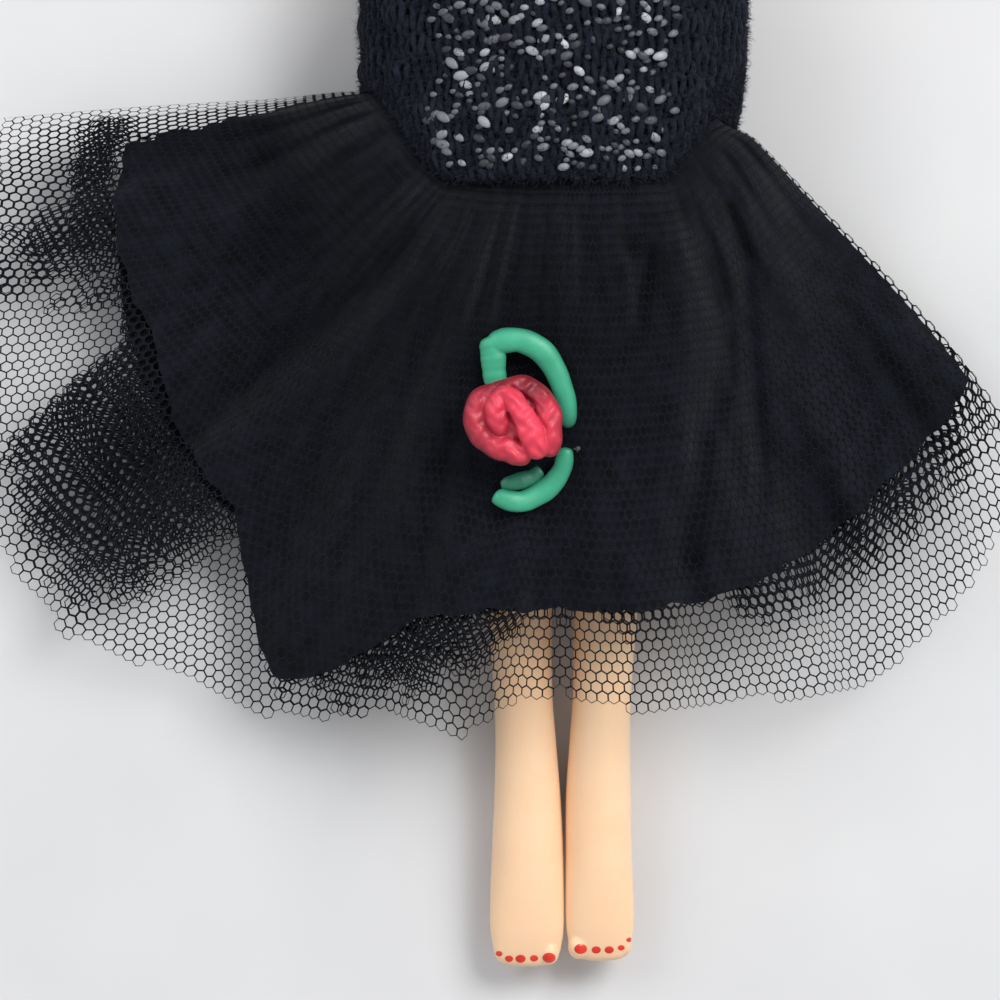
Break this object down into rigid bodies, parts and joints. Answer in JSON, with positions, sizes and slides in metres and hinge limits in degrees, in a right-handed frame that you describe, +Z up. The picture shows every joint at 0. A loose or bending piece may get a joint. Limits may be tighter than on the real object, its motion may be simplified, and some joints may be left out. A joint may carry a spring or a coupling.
{
  "type": "fashion doll",
  "caption": "Small jointed fashion doll lying on its back, in a fuzzy knitted tube top and a layered net skirt with a ribbon rosette.",
  "frame": {"origin": "on the table under the middle of the doll's waist", "axes": "+Y along the body towards the head, +Z up from the table towards the doll's front, +X to the doll's left"},
  "size_m": [0.1331, 0.1931, 0.0311],
  "materials": {
    "skin": "satin",
    "hair": "satin",
    "pin_steel": "satin",
    "peg_plastic": "gloss",
    "fuzzy_knit": "matte",
    "black_tape": "matte",
    "elastic": "matte",
    "net_cloth": "satin",
    "lining_cloth": "satin",
    "red_satin": "satin",
    "green_satin": "satin"
  },
  "bodies": {
    "torso": {"torso_front": "skin", "torso_back": "skin", "hip_pin": "pin_steel", "neck_peg": "peg_plastic", "bodice_knit": "fuzzy_knit", "closure_tape": "black_tape", "waist_elastic": "elastic", "net_inner_back": "net_cloth", "lining_back": "lining_cloth", "net_outer_back": "net_cloth"},
    "head": {"head": "skin", "hair_cap": "hair", "hair_bun": "hair", "hair_tie": "elastic"},
    "arm_right": {"arm_right": "skin"},
    "arm_left": {"arm_left": "skin"},
    "leg_right": {"leg_right": "skin", "net_inner_front_right": "net_cloth", "net_middle_front_right": "net_cloth", "lining_front_right": "lining_cloth", "net_outer_front_right": "net_cloth", "rose_ribbon": "red_satin", "leaf_ribbon_upper": "green_satin", "leaf_ribbon_lower": "green_satin"},
    "leg_left": {"leg_left": "skin", "net_inner_front_left": "net_cloth", "net_middle_front_left": "net_cloth", "lining_front_left": "lining_cloth", "net_outer_front_left": "net_cloth"}
  },
  "joints": [
    {"name": "neck_turn", "type": "hinge", "parent": "torso", "child": "head", "pos_m": [0, 0.042, 0.01535], "axis": [0, 1, 0], "continuous": true},
    {"name": "shoulder_right", "type": "hinge", "parent": "torso", "child": "arm_right", "pos_m": [-0.0152, 0.031, 0.01535], "axis": [1, 0, 0], "range_deg": [0, 110]},
    {"name": "shoulder_left", "type": "hinge", "parent": "torso", "child": "arm_left", "pos_m": [0.0152, 0.031, 0.01535], "axis": [1, 0, 0], "range_deg": [0, 110]},
    {"name": "hip_right", "type": "hinge", "parent": "torso", "child": "leg_right", "pos_m": [-0.0085, -0.013, 0.01535], "axis": [-1, 0, 0], "range_deg": [0, 90], "deforming": ["net_inner_front_right", "net_middle_front_right", "lining_front_right", "net_outer_front_right", "leaf_ribbon_upper", "leaf_ribbon_lower"]},
    {"name": "hip_left", "type": "hinge", "parent": "torso", "child": "leg_left", "pos_m": [0.0085, -0.013, 0.01535], "axis": [-1, 0, 0], "range_deg": [0, 90], "deforming": ["net_inner_front_left", "net_middle_front_left", "lining_front_left", "net_outer_front_left"]}
  ]
}
